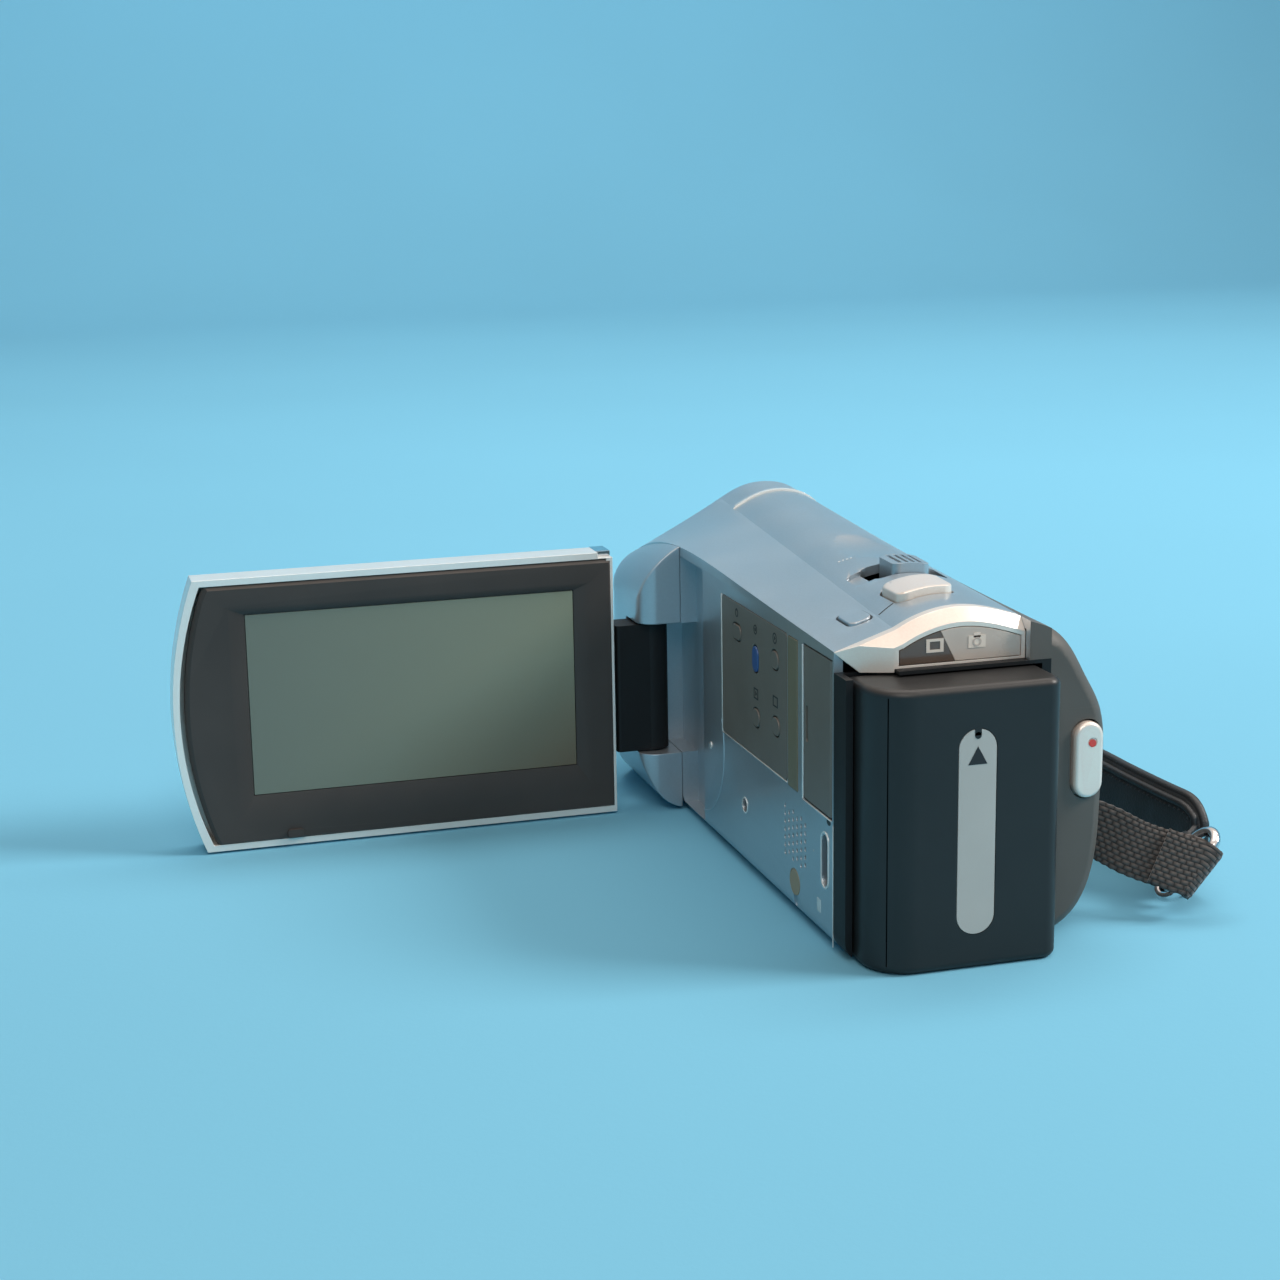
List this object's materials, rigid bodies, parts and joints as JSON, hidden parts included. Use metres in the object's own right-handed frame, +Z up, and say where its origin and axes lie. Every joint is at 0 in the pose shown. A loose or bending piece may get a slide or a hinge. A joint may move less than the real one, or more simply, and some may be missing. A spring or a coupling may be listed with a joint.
{
  "type": "camcorder",
  "caption": "Pocket camcorder with a fold-out tilting screen, slide-on battery, zoom lever, grip side and padded hand strap, standing on its flat base with the screen swung open.",
  "frame": {"origin": "mouth of the tripod socket in the flat base", "axes": "+Y towards the lens, +X towards the hand grip, +Z up; the base rests on z = 0"},
  "size_m": [0.1619, 0.134, 0.0575],
  "materials": {
    "silver": "satin silver paint",
    "silver_warm": "satin silver paint",
    "grip_grey": "fine matte",
    "black_plastic": "matte",
    "black_satin": "satin",
    "bezel_brown": "fine matte",
    "side_grey": "fine matte",
    "olive": "matte",
    "chrome": "polished",
    "steel": "brushed",
    "aluminium": "machined",
    "label_grey": "matte",
    "screen_glass": "semi gloss",
    "dark_window": "tinted",
    "light_window": "translucent",
    "blue_key": "translucent",
    "lens_glass": "coated",
    "board_green": "solder mask",
    "leather_black": "soft",
    "nylon_black": "woven"
  },
  "bodies": {
    "camcorder": {"left_cabinet": "silver", "grip_cover": "grip_grey", "grip_shoulder": "grip_grey", "top_cover": "silver", "front_cabinet": "silver", "hinge_housing": "silver", "bottom_cover": "black_plastic", "base_screws": "steel", "tripod_socket": "steel", "card_slot": "black_plastic", "battery_bay": "black_plastic", "rear_cap": "silver_warm", "lamp_window_dark": "dark_window", "lamp_window_light": "light_window", "control_panel": "side_grey", "key_board": "board_green", "side_rib": "olive", "cover_pins": "steel", "jack_block": "black_plastic", "usb_port": "steel", "speaker": "black_plastic", "latch_pad": "label_grey", "switch_board": "board_green", "hinge_pin": "steel", "lens_trim": "chrome", "lens_barrel": "black_plastic", "front_element": "lens_glass", "inner_lenses": "lens_glass", "main_board": "board_green", "strap_bars": "steel", "strap_ring": "chrome", "rear_webbing": "nylon_black", "front_webbing": "nylon_black", "strap_pad": "leather_black"},
    "arm": {"hinge_arm": "black_plastic", "tilt_shaft": "steel"},
    "screen": {"lcd_lid": "silver", "lcd_end_trim": "chrome", "lcd_bezel": "bezel_brown", "lcd_glass": "screen_glass", "lcd_display": "black_plastic", "tilt_bearing": "black_plastic"},
    "battery": {"battery_case": "black_satin", "battery_label": "label_grey", "battery_cells": "aluminium"},
    "jack_cover_body": {"jack_cover": "side_grey"},
    "card_cover_body": {"card_cover": "black_plastic"},
    "battery_latch_body": {"battery_latch": "black_plastic"},
    "zoom_lever_body": {"zoom_lever": "silver_warm"},
    "photo_button_body": {"photo_button": "silver_warm"},
    "mode_button_body": {"mode_button": "silver_warm"},
    "rec_button_body": {"rec_button": "silver_warm"},
    "reset_button_body": {"reset_button": "black_plastic"},
    "shutter_upper_body": {"shutter_upper": "black_plastic"},
    "shutter_lower_body": {"shutter_lower": "black_plastic"},
    "power_button_body": {"power_button": "side_grey"},
    "easy_button_body": {"easy_button": "blue_key"},
    "share_button_body": {"share_button": "side_grey"},
    "playback_button_body": {"playback_button": "side_grey"},
    "display_button_body": {"display_button": "side_grey"}
  },
  "joints": [
    {"name": "lcd_open", "type": "hinge", "parent": "camcorder", "child": "arm", "pos_m": [-0.0222, 0.0242, 0.0254], "axis": [0, 0, 1], "range_deg": [0, 90]},
    {"name": "lcd_tilt", "type": "hinge", "parent": "arm", "child": "screen", "pos_m": [-0.0302, 0.0242, 0.0254], "axis": [-1, 0, 0], "range_deg": [-90, 180]},
    {"name": "battery_slide", "type": "slide", "parent": "camcorder", "child": "battery", "axis": [0, 0, -1], "range_m": [0, 0.006]},
    {"name": "battery_catch", "type": "slide", "parent": "camcorder", "child": "battery_latch_body", "axis": [0, 1, 0], "range_m": [0, 0.0022], "stiffness_N_per_m": 400},
    {"name": "jack_cover_hinge", "type": "hinge", "parent": "camcorder", "child": "jack_cover_body", "pos_m": [-0.0169, -0.0593, 0.0342], "axis": [0, 0, -1], "range_deg": [-100, 0]},
    {"name": "card_cover_hinge", "type": "hinge", "parent": "camcorder", "child": "card_cover_body", "pos_m": [0.0098, 0.018, 0.0009], "axis": [0, -1, 0], "range_deg": [0, 100]},
    {"name": "zoom", "type": "slide", "parent": "camcorder", "child": "zoom_lever_body", "axis": [1, 0, 0], "range_m": [-0.003, 0.003], "stiffness_N_per_m": 300},
    {"name": "photo_press", "type": "slide", "parent": "camcorder", "child": "photo_button_body", "axis": [0, 0, -1], "range_m": [0, 0.0005], "stiffness_N_per_m": 1500},
    {"name": "mode_press", "type": "slide", "parent": "camcorder", "child": "mode_button_body", "axis": [0, 0, -1], "range_m": [0, 0.0005], "stiffness_N_per_m": 1500},
    {"name": "rec_press", "type": "slide", "parent": "camcorder", "child": "rec_button_body", "axis": [0, 1, 0], "range_m": [0, 0.0008], "stiffness_N_per_m": 1200},
    {"name": "reset_press", "type": "slide", "parent": "camcorder", "child": "reset_button_body", "axis": [1, 0, 0], "range_m": [0, 0.0004], "stiffness_N_per_m": 1500},
    {"name": "power_press", "type": "slide", "parent": "camcorder", "child": "power_button_body", "axis": [1, 0, 0], "range_m": [0, 0.0003], "stiffness_N_per_m": 1500},
    {"name": "easy_press", "type": "slide", "parent": "camcorder", "child": "easy_button_body", "axis": [1, 0, 0], "range_m": [0, 0.0003], "stiffness_N_per_m": 1500},
    {"name": "share_press", "type": "slide", "parent": "camcorder", "child": "share_button_body", "axis": [1, 0, 0], "range_m": [0, 0.0003], "stiffness_N_per_m": 1500},
    {"name": "playback_press", "type": "slide", "parent": "camcorder", "child": "playback_button_body", "axis": [1, 0, 0], "range_m": [0, 0.0003], "stiffness_N_per_m": 1500},
    {"name": "display_press", "type": "slide", "parent": "camcorder", "child": "display_button_body", "axis": [1, 0, 0], "range_m": [0, 0.0003], "stiffness_N_per_m": 1500},
    {"name": "shutter_open", "type": "slide", "parent": "camcorder", "child": "shutter_upper_body", "axis": [0, 0, 1], "range_m": [0, 0.0082]},
    {"name": "shutter_lower_open", "type": "slide", "parent": "camcorder", "child": "shutter_lower_body", "axis": [0, 0, -1], "range_m": [0, 0.0082]}
  ],
  "couplings": [
    {"joint": "shutter_lower_open", "follows": "shutter_open", "ratio": 1}
  ]
}
